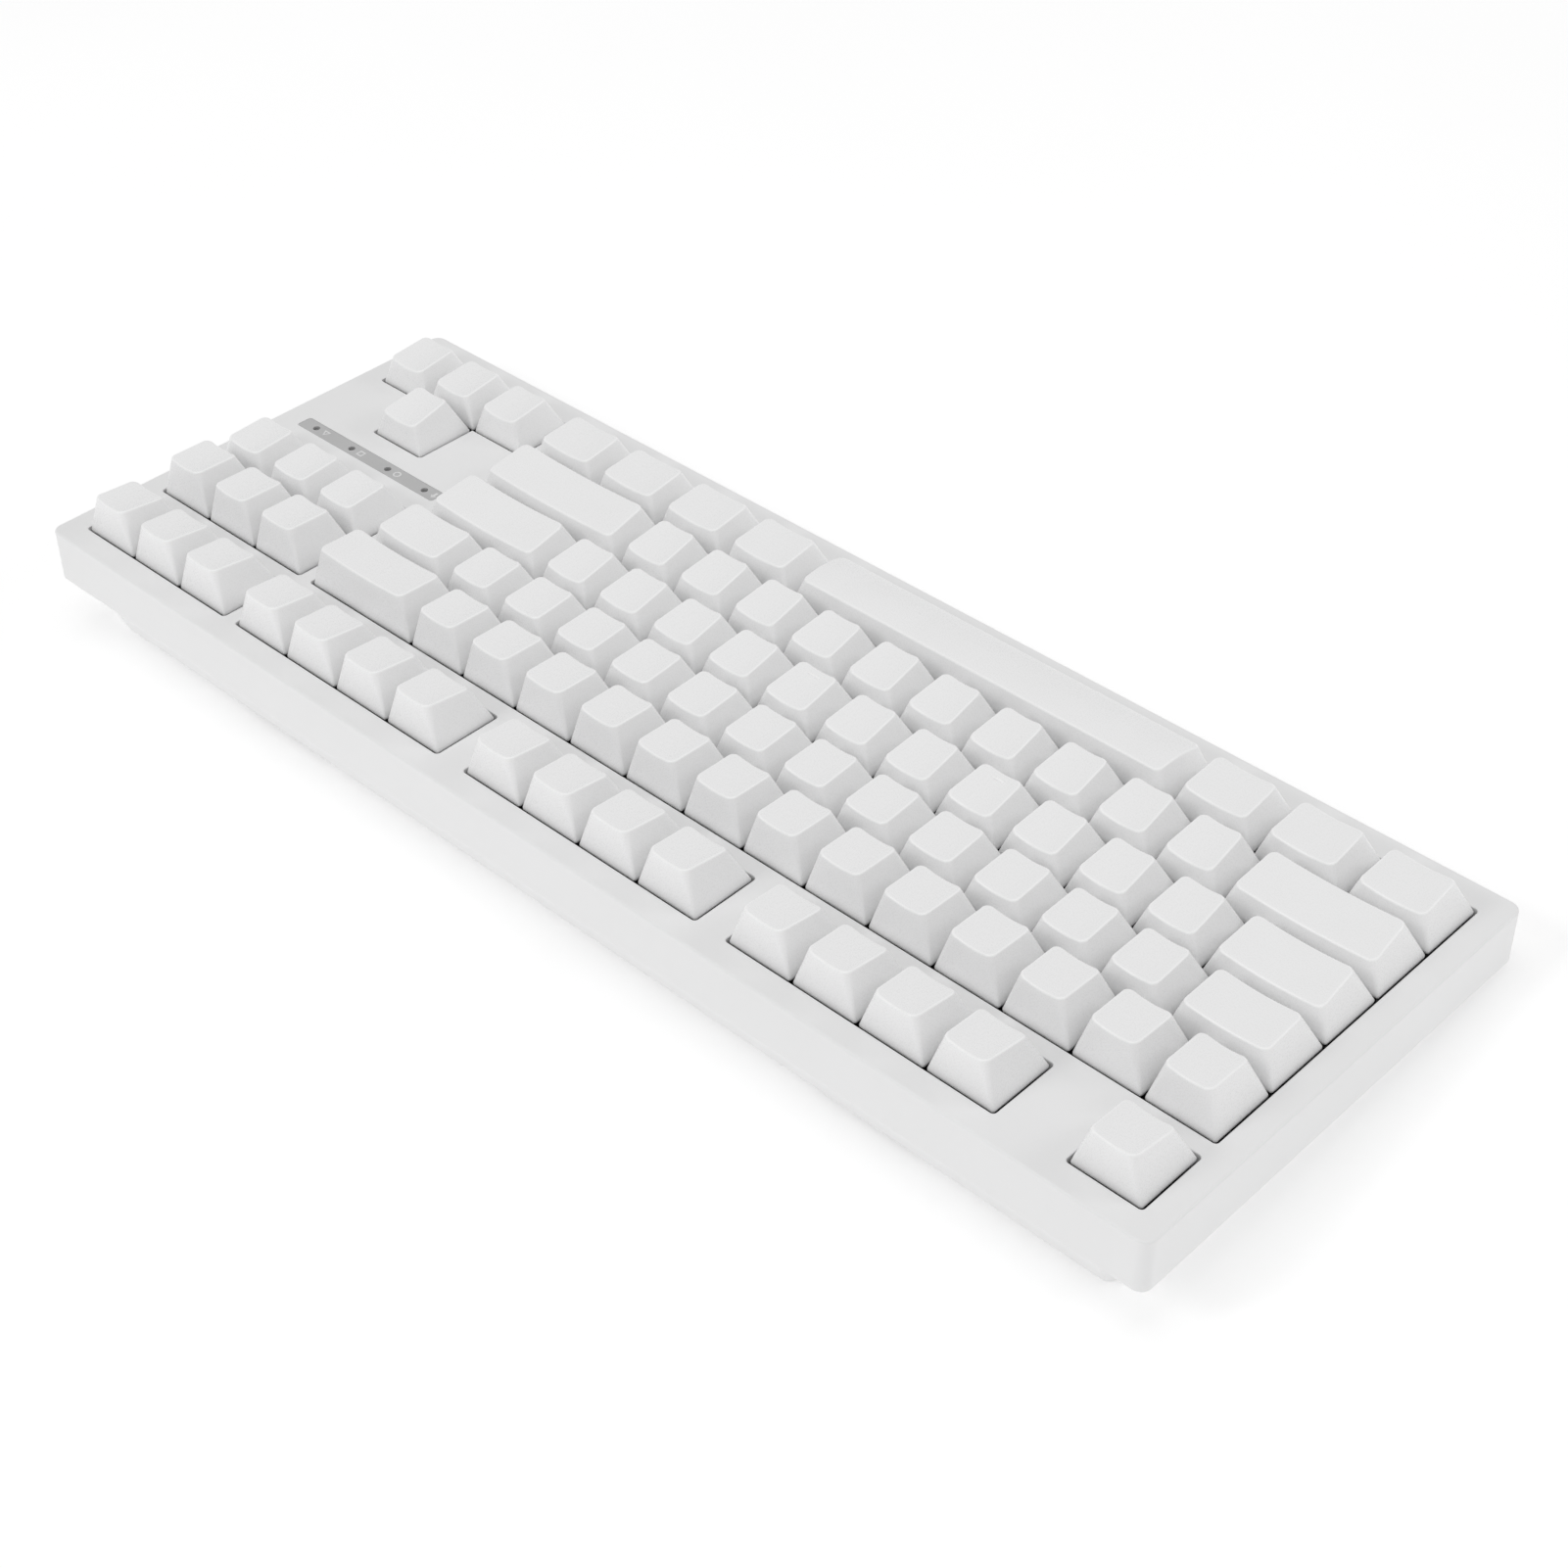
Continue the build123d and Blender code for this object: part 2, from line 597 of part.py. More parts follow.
deck_nodes = {
    "top_case": make_top_case(),
    "switch_plate": make_switch_plate(),
    "circuit_board": make_circuit_board(),
    "board_components": make_board_components(),
    "switch_bases": in_every_switch(make_switch_base()),
    "switch_covers": in_every_switch(make_switch_cover()),
    "switch_springs": in_every_switch(make_switch_spring()),
    "switch_contacts": in_every_switch(make_switch_contacts()),
    "stabilizer_housings": collect_stabilizer_housings(),
    "case_screws": make_case_screws(),
    "usb_socket": make_usb_socket(),
    "indicator_window": make_indicator_window(),
    "indicator_lamps": make_indicator_lamps(),
    **collect_wires(),
    **collect_keys(),
}
nodes = {name: to_desk * shape for name, shape in deck_nodes.items()}
nodes["bottom_case"] = make_bottom_case()
nodes["rubber_feet"] = make_rubber_feet()
nodes["left_tilt_foot"] = make_tilt_foot(-tilt_foot_x)
nodes["right_tilt_foot"] = make_tilt_foot(tilt_foot_x)

os.makedirs("parts", exist_ok=True)
for name, shape in nodes.items():
    export_step(shape, f"parts/{name}.step")
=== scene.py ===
import math

import bmesh
import bpy
from mathutils import Euler, Matrix, Vector


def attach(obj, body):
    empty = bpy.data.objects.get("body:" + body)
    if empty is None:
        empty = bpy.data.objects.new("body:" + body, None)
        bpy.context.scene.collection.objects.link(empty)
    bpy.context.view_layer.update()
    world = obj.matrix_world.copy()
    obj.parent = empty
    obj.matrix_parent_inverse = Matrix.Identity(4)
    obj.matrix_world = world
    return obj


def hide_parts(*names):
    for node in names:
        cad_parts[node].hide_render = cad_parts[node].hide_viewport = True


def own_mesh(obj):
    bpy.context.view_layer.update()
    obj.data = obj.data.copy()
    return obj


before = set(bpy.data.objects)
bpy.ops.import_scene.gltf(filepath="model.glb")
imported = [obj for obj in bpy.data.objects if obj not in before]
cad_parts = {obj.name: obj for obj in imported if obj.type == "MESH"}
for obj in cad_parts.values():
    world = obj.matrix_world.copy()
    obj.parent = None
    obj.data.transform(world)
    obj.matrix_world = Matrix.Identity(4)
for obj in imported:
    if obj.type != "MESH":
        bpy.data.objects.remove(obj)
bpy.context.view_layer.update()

MM = 0.001

# Deck frame: +X right, +Y to the back, +Z square to the deck, from the front left corner of the
# key field. Its sizes and heights are in millimetres, unless a comment says otherwise. DECK turns
# a place in that frame, in metres, into a place on the desk.
TYPING_ANGLE = math.radians(6)
DECK_CORNER = (-173.83125, -59.708838, 18.207968)
DECK = (Matrix.Translation([c * MM for c in DECK_CORNER])
        @ Matrix.Rotation(TYPING_ANGLE, 4, "X"))

# Key field
PITCH = 19.05
FUNCTION_ROW = 5
FUNCTION_ROW_GAP = 5.1
MAIN_BLOCK = 15                   # this and the next two in units of one key
CLUSTER_GAP = 0.25
CLUSTER_WIDTH = 3
CLUSTER_X = (MAIN_BLOCK + CLUSTER_GAP + CLUSTER_WIDTH / 2) * PITCH

# Keycaps. EDGE_HEIGHTS holds each row's rear and front top edge, from the front row to the
# function row. That box goes round the corners of each cap's own tipped box, and they stand
# about 0.2 above the cap.
EDGE_HEIGHTS = [(8.3, 9.8), (7.6, 10.1), (7.5, 9.6), (8.9, 9.8), (11.6, 11.2), (11.2, 9.7)]
CAP_BOTTOM = -0.9
SKIRT_TOP = -0.2                  # the sides are upright below this and lean in above it
CAP_GAP = 0.425
CAP_REAR_TOP = 8.3
CAP_FRONT_TOP = -4.8
SPACE_BAR_FRONT_TOP = -7.3
SPACE_BAR_HEIGHTS = (8.3, 7.0)
CROWN = 1.0
CAP_TOP_INSET = 3.1
CAP_WALL = 1.3
CAP_ROOF = 1.4
DISH = 0.8
BASE_CORNER = 0.6
TOP_CORNER = 1.8
EDGE_ROUNDING = 0.5
FOOT_ROUNDING = 0.15
POST_HALF = 2.75                  # the nearly round post that takes the stem's cross
POST_CORNER = 2.7
POST_BOTTOM = 0.7
POST_ROOT = 0.3                   # how far the post reaches into the cap's roof
HOMING_BAR_HALF = (2.0, 0.4)      # half the length and width of the bar on F and J
HOMING_BAR_CORNER = 0.39
HOMING_BAR_EDGE = 0.35
HOMING_BAR_Y = -2.6
HOMING_BAR_HEIGHT = 0.35
HOMING_BAR_ROOT = 0.5             # how far the bar reaches into the cap

# Stems under the caps, as half sizes and heights, and the springs that they push. STABILIZED
# holds how far a long key's outer stems are from its middle.
SLIDER_HALF = (4.5, 3.5)
SLIDER_BOTTOM = -5.9
SLIDER_TOP = -0.8
SLIDER_BORE = (2.3, -1.5)         # radius and top of the hole for the spring
NECK_HALF = (3.5, 2.9)
NECK_BOTTOM = -0.9
NECK_TOP = 0.6
STABILIZER_STEM_HALF = (2.2, 3.5)
STABILIZER_STEM_BOTTOM = -6.7
STABILIZER_STEM_Y = 0.5
STEM_CORNER = 0.4
CROSS_HALF = (2.0, 0.6)           # half the length and width of each bar of the cross
CROSS_CORNER = 0.15
CROSS_EDGE = 0.1
CROSS_BOTTOM = 0.5
CROSS_TOP = 4.2
STABILIZED = {"backspace_key": 11.94, "enter_key": 11.94, "left_shift_key": 11.94,
              "right_shift_key": 11.94, "space_bar": 50.0}
SPRING_RADIUS = 1.95
SPRING_WIRE_RADIUS = 0.14
SPRING_COILS = 11
STEPS_PER_COIL = 14
SPRING_WIRE_SIDES = 6
SPRING_BOTTOM = -10.1
SPRING_TOP = -1.6

# Indicator strip
STRIP_Y = 47.75
LAMP_SPACING = 15.0
SIGN_OFFSET = 3.9
SIGN_SIZE = 1.25
STRIP_TOP = -0.05
SIGN_TOP = -0.005
SIGN_ROOT = 0.02                  # how far a sign reaches into the strip
CIRCLE_STEPS = 32

# Fineness of the meshes. Shares run from 0 to 1 across a side, an edge or a top.
STEPS_PER_UNIT = 8
FEWEST_STEPS = 10
SIDE_SHARES = (0, 0.25, 0.5, 0.75)
ROUNDING_SHARES = (0, 0.2, 0.4, 0.6, 0.8, 1)
TOP_SHARES = (0.15, 0.3, 0.5, 0.7, 0.85, 1)
FLAT_SHARES = (0.5, 1)
SMALLEST_CORNER = 0.02
MERGE_DISTANCE = 0.002
SHORTEST_EDGE = 0.001

# Studio, in metres, degrees and watts. A softbox is its name, place, diameter and power. The
# camera's lens and sensor are in millimetres.
FLOOR_SIZE = 8
FLOOR_GLOW = 0.22
SKY_STRENGTH = 0.57
SOFTBOXES = [
    ("top_softbox", (0, 0, 1.5), 1.2, 4.0),
    ("back_softbox", (0.45, 1.15, 1.25), 0.5, 4.0),
    ("front_softbox", (-1.1, -0.95, 0.85), 0.5, 2.2),
]
CAMERA_PLACE = (-0.38382, 0.33277, 0.48047)
CAMERA_TURN = (46.141, 4.571, -136.754)
CAMERA_LENS = 65.06
CAMERA_SENSOR = 36


# ------------------------------------------------------------------ materials

# The attribute named below is a painted highlight: a value at each point of a keycap's mesh, 1
# where its colour is palest, standing in for the lamps' sheen; the third line holds it for each
# ring round a cap's rounded edge.
PAINTED_HIGHLIGHT_ATTRIBUTE = "painted_edge_highlight"
PAINTED_HIGHLIGHT_COLOUR = (0.985, 0.985, 0.985, 1)
ROUNDING_PAINTED_HIGHLIGHT = (0, 0.7, 1, 1, 0.7, 0)
PATCH_RAMP = (0.3, 0.7)           # where a noise's value turns from the first colour to the second
RELIEF_STRENGTH = 0.5


def grained(name, colours, roughness, grain, bump, patch=40.0, metallic=0.0, specular=0.5,
            coat=0.0, painted_edge_highlights=False):
    """A moulded or milled finish: two close colours in soft patches, and a fine grain in gloss
    and relief. grain and patch are sizes in millimetres, bump is the grain's height in
    millimetres. With its last argument set, a painted highlight is added: the colour is paler
    where the mesh's painted highlight value says so."""
    material = bpy.data.materials.new(name)
    material.use_nodes = True
    nodes = material.node_tree.nodes
    links = material.node_tree.links
    shader = nodes["Principled BSDF"]
    shader.inputs["Metallic"].default_value = metallic
    shader.inputs["Specular IOR Level"].default_value = specular
    shader.inputs["Coat Weight"].default_value = coat
    place = nodes.new("ShaderNodeTexCoord")

    patches = nodes.new("ShaderNodeTexNoise")
    patches.inputs["Scale"].default_value = 1 / (patch * MM)
    patches.inputs["Detail"].default_value = 3
    ramp = nodes.new("ShaderNodeValToRGB")
    for element, position, colour in zip(ramp.color_ramp.elements, PATCH_RAMP, colours):
        element.position = position
        element.color = (*colour, 1)

    fine = nodes.new("ShaderNodeTexNoise")
    fine.inputs["Scale"].default_value = 1 / (grain * MM)
    fine.inputs["Detail"].default_value = 2
    gloss = nodes.new("ShaderNodeMapRange")
    gloss.inputs["To Min"].default_value = roughness[0]
    gloss.inputs["To Max"].default_value = roughness[1]
    relief = nodes.new("ShaderNodeBump")
    relief.inputs["Strength"].default_value = RELIEF_STRENGTH
    relief.inputs["Distance"].default_value = bump * MM

    links.new(place.outputs["Object"], patches.inputs["Vector"])
    links.new(place.outputs["Object"], fine.inputs["Vector"])
    links.new(patches.outputs["Fac"], ramp.inputs["Fac"])
    # Painted highlight: the colour is mixed towards near white where the mesh's value says,
    # standing in for the lamps' sheen on the cap edges.
    if painted_edge_highlights:
        edge = nodes.new("ShaderNodeAttribute")
        edge.attribute_name = PAINTED_HIGHLIGHT_ATTRIBUTE
        mix = nodes.new("ShaderNodeMixRGB")
        mix.inputs["Color2"].default_value = PAINTED_HIGHLIGHT_COLOUR
        links.new(edge.outputs["Fac"], mix.inputs["Fac"])
        links.new(ramp.outputs["Color"], mix.inputs["Color1"])
        links.new(mix.outputs["Color"], shader.inputs["Base Color"])
    else:
        links.new(ramp.outputs["Color"], shader.inputs["Base Color"])
    links.new(fine.outputs["Fac"], gloss.inputs["Value"])
    links.new(gloss.outputs["Result"], shader.inputs["Roughness"])
    links.new(fine.outputs["Fac"], relief.inputs["Height"])
    links.new(relief.outputs["Normal"], shader.inputs["Normal"])
    return material


def grey(value, blue=0.0):
    return (value, value, value + blue)


# The CAD's materials have these names too, so that Blender numbers the new ones; a finish is
# looked up by its name here.
FINISH_SETTINGS = {
    "case_plastic": dict(colours=(grey(0.87), grey(0.885, 0.002)), roughness=(0.3, 0.42),
                         grain=0.35, bump=0.01),
    # Key plastic with a painted highlight along its rounded top edges and homing bars.
    "key_plastic": dict(colours=(grey(0.92), grey(0.935, 0.002)), roughness=(0.22, 0.34),
                        grain=0.3, bump=0.006, patch=15, painted_edge_highlights=True),
    "foot_plastic": dict(colours=(grey(0.85), grey(0.87)), roughness=(0.4, 0.52),
                         grain=0.35, bump=0.02),
    "plate_steel": dict(colours=(grey(0.3), grey(0.36)), roughness=(0.35, 0.5),
                        grain=0.5, bump=0.02, metallic=0.8),
    "board_green": dict(colours=((0.03, 0.1, 0.05), (0.045, 0.13, 0.065)), roughness=(0.3, 0.45),
                        grain=1.0, bump=0.03, patch=6, coat=0.3),
    "component_black": dict(colours=(grey(0.025), grey(0.035)), roughness=(0.5, 0.7),
                            grain=0.3, bump=0.02, patch=3),
    "switch_black": dict(colours=(grey(0.03), grey(0.04, 0.003)), roughness=(0.4, 0.55),
                         grain=0.4, bump=0.02, patch=8),
    "switch_clear": dict(colours=(grey(0.03), grey(0.042, 0.003)), roughness=(0.35, 0.5),
                         grain=0.4, bump=0.02, patch=8),
    "spring_steel": dict(colours=(grey(0.55), grey(0.65)), roughness=(0.2, 0.35),
                         grain=0.4, bump=0.02, metallic=1),
    "contact_brass": dict(colours=((0.7, 0.5, 0.22), (0.78, 0.6, 0.3)), roughness=(0.25, 0.4),
                          grain=0.4, bump=0.01, metallic=1),
    "screw_steel": dict(colours=(grey(0.5), grey(0.6)), roughness=(0.25, 0.45),
                        grain=0.3, bump=0.02, patch=2, metallic=1),
    "foot_rubber": dict(colours=(grey(0.07), grey(0.1)), roughness=(0.7, 0.9),
                        grain=0.5, bump=0.06, patch=5),
    "socket_steel": dict(colours=(grey(0.55), grey(0.65)), roughness=(0.2, 0.35),
                         grain=0.3, bump=0.01, patch=3, metallic=1),
    "indicator_grey": dict(colours=(grey(0.5), grey(0.53)), roughness=(0.25, 0.35),
                           grain=0.3, bump=0.01, patch=10),
    "lamp_smoke": dict(colours=(grey(0.15), grey(0.18)), roughness=(0.1, 0.2),
                       grain=0.2, bump=0.005, patch=1, coat=0.5),
    "wire_steel": dict(colours=(grey(0.5), grey(0.62)), roughness=(0.25, 0.4),
                       grain=0.3, bump=0.01, patch=5, metallic=1),
}
FINISHES = {name: grained(name, **settings) for name, settings in FINISH_SETTINGS.items()}
FINISH_OF_NODE = {
    "top_case": "case_plastic", "bottom_case": "case_plastic", "switch_plate": "plate_steel",
    "circuit_board": "board_green", "board_components": "component_black",
    "switch_bases": "switch_black", "switch_covers": "switch_clear",
    "switch_springs": "spring_steel", "switch_contacts": "contact_brass",
    "stabilizer_housings": "switch_black", "case_screws": "screw_steel",
    "rubber_feet": "foot_rubber", "usb_socket": "socket_steel",
    "indicator_window": "indicator_grey", "indicator_lamps": "lamp_smoke",
    "left_tilt_foot": "foot_plastic", "right_tilt_foot": "foot_plastic",
}
SIGN_INK = grained("sign_ink", (grey(0.72), grey(0.78)), (0.4, 0.5), 0.2, 0.005, patch=2)

for node_name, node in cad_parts.items():
    other_finish = "wire_steel" if node_name.endswith("_wire") else "key_plastic"
    finish = FINISH_OF_NODE.get(node_name, other_finish)
    for material_slot in node.material_slots:
        material_slot.material = FINISHES[finish]


# ------------------------------------------------------------------ mesh tools

def blend(a, b, share):
    return tuple(p + (q - p) * share for p, q in zip(a, b))


def rounded_outline(steps_x, steps_y, corner_steps=6):
    """A rounded rectangle's points, counter-clockwise, each as (sx, sy, cx, cy): sx and sy are
    shares of the straight half sizes, and cx and cy are shares of the corner radius."""
    points = []
    corners = [(1, 1), (-1, 1), (-1, -1), (1, -1)]
    for index, corner in enumerate(corners):
        following = corners[(index + 1) % 4]
        for step in range(corner_steps + 1):
            angle = math.radians(90 * (index + step / corner_steps))
            points.append((*corner, math.cos(angle), math.sin(angle)))
        steps = steps_y if index % 2 else steps_x
        for step in range(1, steps):
            points.append((*blend(corner, following, step / steps), *points[-1][2:]))
    return points


def place_outline(outline, half_x, half_y, radius, z, x=0.0, y=0.0):
    straight_x = half_x - radius
    straight_y = half_y - radius
    return [(x + sx * straight_x + cx * radius, y + sy * straight_y + cy * radius, z)
            for sx, sy, cx, cy in outline]


def closing_rings(ring, half_x, half_y, x, y, surface, shares):
    """Rings that close a ring on the middle line of its outline, at heights z = surface(x, y)."""
    reach_x = max(0.0, half_x - half_y)
    reach_y = max(0.0, half_y - half_x)
    rings = []
    for share in shares:
        points = []
        for px, py, _ in ring:
            goal = (x + min(max(px - x, -reach_x), reach_x),
                    y + min(max(py - y, -reach_y), reach_y))
            qx, qy = blend((px, py), goal, share)
            points.append((qx, qy, surface(qx, qy)))
        rings.append(points)
    return rings


def add_shell(mesh, rings):
    """Join rings of points, in millimetres, into a skin. Gives its mesh points, ring by ring."""
    loops = [[mesh.verts.new([c * MM for c in point]) for point in ring] for ring in rings]
    for lower, upper in zip(loops, loops[1:]):
        for index in range(len(lower)):
            after = (index + 1) % len(lower)
            mesh.faces.new((lower[index], lower[after], upper[after], upper[index]))
    return loops


def add_block(mesh, half_x, half_y, radius, low, high, x=0.0, y=0.0, edge=0.15, bore=None):
    """A block with rounded uprights and ends, radius wide at the uprights and edge at the ends.
    bore is the radius and top of a round hole in its underside."""
    outline = rounded_outline(2, 2, 4)
    turns = [math.radians(angle) for angle in (0, 30, 60, 90)]
    insets = [(edge * (1 - math.sin(turn)), edge * (1 - math.cos(turn))) for turn in turns]
    levels = [(inset, low + lift) for inset, lift in insets]
    levels += [(inset, high - lift) for inset, lift in insets[::-1]]
    rings = []
    for inset, z in levels:
        corner = max(radius - inset, SMALLEST_CORNER)
        rings.append(place_outline(outline, half_x - inset, half_y - inset, corner, z, x, y))
    bottom = closing_rings(rings[0], half_x, half_y, x, y, lambda px, py: low, FLAT_SHARES)
    if bore:
        bore_radius, bore_top = bore
        mouth, ceiling = [place_outline(outline, bore_radius, bore_radius, bore_radius, z, x, y)
                          for z in (low, bore_top)]
        middle = closing_rings(ceiling, 0, 0, x, y, lambda px, py: bore_top, (1,))
        bottom = [mouth, ceiling] + middle
    top = closing_rings(rings[-1], half_x, half_y, x, y, lambda px, py: high, FLAT_SHARES)
    return add_shell(mesh, bottom[::-1] + rings + top)


def finish_mesh(mesh, name, sharp_angle=40):
    bmesh.ops.remove_doubles(mesh, verts=mesh.verts, dist=MERGE_DISTANCE * MM)
    bmesh.ops.dissolve_degenerate(mesh, edges=mesh.edges, dist=SHORTEST_EDGE * MM)
    bmesh.ops.recalc_face_normals(mesh, faces=mesh.faces)
    data = bpy.data.meshes.new(name)
    mesh.to_mesh(data)
    mesh.free()
    data.shade_smooth()
    data.set_sharp_from_angle(angle=math.radians(sharp_angle))
    return data


def add_piece(name, data, body, material, x=0.0, y=0.0):
    """Put a mesh drawn in the deck frame, about a point of the deck, on its CAD body."""
    piece = bpy.data.objects.new(name, data)
    bpy.context.scene.collection.objects.link(piece)
    if not data.materials:
        data.materials.append(material)
    piece.matrix_world = DECK @ Matrix.Translation((x * MM, y * MM, 0))
    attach(piece, body)
    return piece


# ------------------------------------------------------------------ keycaps

def cap_profile(row, crowned):
    """A cap's rear and front top edges, each as Y from the cap's centre and height."""
    if crowned:
        return (CAP_REAR_TOP, SPACE_BAR_HEIGHTS[0]), (SPACE_BAR_FRONT_TOP, SPACE_BAR_HEIGHTS[1])
    return (CAP_REAR_TOP, EDGE_HEIGHTS[row][0]), (CAP_FRONT_TOP, EDGE_HEIGHTS[row][1])


def cap_plane(rear, front):
    """Height of the plane through a cap's rear and front top edges."""
    slope = (rear[1] - front[1]) / (rear[0] - front[0])
    return lambda y: front[1] + slope * (y - front[0])


def side_draft(rear, front):
    """How far a cap's sides lean in for each millimetre of height."""
    return CAP_TOP_INSET / ((rear[1] + front[1]) / 2 - SKIRT_TOP)


def cap_surface(rear, front, top_half_x, crowned):
    """Height of a cap's top: its plane, with a finger dish along it or the space bar's crown."""
    plane = cap_plane(rear, front)
    middle = (rear[0] + front[0]) / 2
    half = (rear[0] - front[0]) / 2

    def surface(x, y):
        if crowned:
            return plane(y) + CROWN * (1 - ((y - middle) / half) ** 2)
        return plane(y) - DISH * (1 - (x / top_half_x) ** 2)
    return surface


def cap_edge(outline, half_x, rear, front, surface):
    """The line where a cap's sides would meet its top, before the edge is rounded."""
    plane = cap_plane(rear, front)
    draft = side_draft(rear, front)
    middle = (rear[0] + front[0]) / 2
    half_y = (rear[0] - front[0]) / 2
    edge = []
    for sx, sy, cx, cy in outline:
        y = middle + sy * (half_y - TOP_CORNER) + cy * TOP_CORNER
        reach = half_x - draft * (plane(y) - SKIRT_TOP)
        x = sx * (reach - TOP_CORNER) + cx * TOP_CORNER
        edge.append((x, y, surface(x, y)))
    return edge


def rounded_edge(foot, edge, inner):
    """Rings from the side to the top round an edge, as one soft curve at each point."""
    rings = []
    for share in ROUNDING_SHARES:
        ring = []
        for low, corner, inside in zip(foot, edge, inner):
            start = blend(corner, low, EDGE_ROUNDING / math.dist(corner, low))
            end = blend(corner, inside, EDGE_ROUNDING / math.dist(corner, inside))
            ring.append(blend(blend(start, corner, share), blend(corner, end, share), share))
        rings.append(ring)
    return rings


def inner_wall_y(edge, foot_y, wall, z):
    """Y of the inside of a cap's rear or front wall at height z. edge is the outer top edge."""
    share = (z - SKIRT_TOP) / (edge[1] - CAP_ROOF - SKIRT_TOP)
    return foot_y + (edge[0] + wall - foot_y) * share


def make_cap(name, width_units, row, crowned, homing, post_places):
    half_x = width_units * PITCH / 2 - CAP_GAP
    half_y = PITCH / 2 - CAP_GAP
    rear, front = cap_profile(row, crowned)
    top_half_x = half_x - CAP_TOP_INSET
    top_half_y = (rear[0] - front[0]) / 2
    top_y = (rear[0] + front[0]) / 2
    surface = cap_surface(rear, front, top_half_x, crowned)

    steps = max(FEWEST_STEPS, round(STEPS_PER_UNIT * width_units))
    outline = rounded_outline(steps, STEPS_PER_UNIT)
    sole = place_outline(outline, half_x - FOOT_ROUNDING, half_y - FOOT_ROUNDING, BASE_CORNER,
                         CAP_BOTTOM)
    foot = place_outline(outline, half_x, half_y, BASE_CORNER, CAP_BOTTOM + FOOT_ROUNDING)
    skirt = place_outline(outline, half_x, half_y, BASE_CORNER, SKIRT_TOP)
    edge = cap_edge(outline, half_x, rear, front, surface)
    top = closing_rings(edge, top_half_x, top_half_y, 0, top_y, surface, TOP_SHARES)
    rounding = rounded_edge(skirt, edge, top[0])
    sides = [foot] + [[blend(low, high, share) for low, high in zip(skirt, rounding[0])]
                      for share in SIDE_SHARES]

    # The hollow inside, from the roof down to the foot
    roof_z = min(rear[1], front[1]) - DISH - CAP_ROOF
    roof_half_x = half_x - CAP_WALL - side_draft(rear, front) * (roof_z - SKIRT_TOP)
    roof_rear = inner_wall_y(rear, half_y - CAP_WALL, -CAP_WALL, roof_z)
    roof_front = inner_wall_y(front, CAP_WALL - half_y, CAP_WALL, roof_z)
    roof_half_y = (roof_rear - roof_front) / 2
    roof_y = (roof_rear + roof_front) / 2
    hollow_foot = place_outline(outline, half_x - CAP_WALL, half_y - CAP_WALL, BASE_CORNER,
                                CAP_BOTTOM)
    hollow_top = place_outline(outline, roof_half_x, roof_half_y, BASE_CORNER, roof_z, 0, roof_y)
    roof = closing_rings(hollow_top, roof_half_x, roof_half_y, 0, roof_y,
                         lambda px, py: roof_z, FLAT_SHARES)

    mesh = bmesh.new()
    # Painted highlight: the rings round the rounded top edge get values that pale their colour,
    # standing in for the lamps' sheen.
    highlight_layer = mesh.verts.layers.float.new(PAINTED_HIGHLIGHT_ATTRIBUTE)
    below = roof[::-1] + [hollow_top, hollow_foot, sole] + sides
    loops = add_shell(mesh, below + rounding + top)
    for loop, value in zip(loops[len(below):], ROUNDING_PAINTED_HIGHLIGHT):
        for vert in loop:
            vert[highlight_layer] = value
    for x in post_places:
        add_block(mesh, POST_HALF, POST_HALF, POST_CORNER, POST_BOTTOM, roof_z + POST_ROOT, x)
    if homing:
        top_z = surface(0, HOMING_BAR_Y)
        bar = add_block(mesh, *HOMING_BAR_HALF, HOMING_BAR_CORNER, top_z - HOMING_BAR_ROOT,
                        top_z + HOMING_BAR_HEIGHT, 0, HOMING_BAR_Y, edge=HOMING_BAR_EDGE)
        # Painted highlight: the whole homing bar is paled so that it reads as a lit line.
        for loop in bar:
            for vert in loop:
                vert[highlight_layer] = 1
    return finish_mesh(mesh, name, sharp_angle=60)


def make_stems(name, post_places):
    """The sliders under a cap: the switch's own, and one at each end of a stabilized key."""
    mesh = bmesh.new()
    add_block(mesh, *SLIDER_HALF, STEM_CORNER, SLIDER_BOTTOM, SLIDER_TOP, bore=SLIDER_BORE)
    add_block(mesh, *NECK_HALF, STEM_CORNER, NECK_BOTTOM, NECK_TOP)
    for x in post_places[1:]:
        add_block(mesh, *STABILIZER_STEM_HALF, STEM_CORNER, STABILIZER_STEM_BOTTOM, NECK_TOP, x,
                  STABILIZER_STEM_Y)
    for x in post_places:
        for half_x, half_y in (CROSS_HALF, CROSS_HALF[::-1]):
            add_block(mesh, half_x, half_y, CROSS_CORNER, CROSS_BOTTOM, CROSS_TOP, x,
                      edge=CROSS_EDGE)
    return finish_mesh(mesh, name)


def make_spring():
    """A switch's coil spring, drawn at rest."""
    count = SPRING_COILS * STEPS_PER_COIL
    climb = SPRING_TOP - SPRING_BOTTOM - 2 * SPRING_WIRE_RADIUS
    rings = []
    for step in range(count + 1):
        turn = math.tau * step / STEPS_PER_COIL
        z = SPRING_BOTTOM + SPRING_WIRE_RADIUS + climb * step / count
        ring = []
        for side in range(SPRING_WIRE_SIDES):
            around = math.tau * side / SPRING_WIRE_SIDES
            reach = SPRING_RADIUS + SPRING_WIRE_RADIUS * math.cos(around)
            ring.append((reach * math.cos(turn), reach * math.sin(turn),
                         z + SPRING_WIRE_RADIUS * math.sin(around)))
        rings.append(ring)
    mesh = bmesh.new()
    loops = add_shell(mesh, rings)
    mesh.faces.new(loops[0][::-1])
    mesh.faces.new(loops[-1])
    return finish_mesh(mesh, "key_spring", sharp_angle=70)


def add_spring(label, body, data, x, y):
    """A switch's spring under a key, on the case's body, in place of the CAD's springs."""
    spring = add_piece(f"{label}_spring", data, "case",
                       FINISHES["spring_steel"], x, y)
    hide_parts("switch_springs")
    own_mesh(spring)


def letters(text):
    return [("key_" + letter, 1) for letter in text]


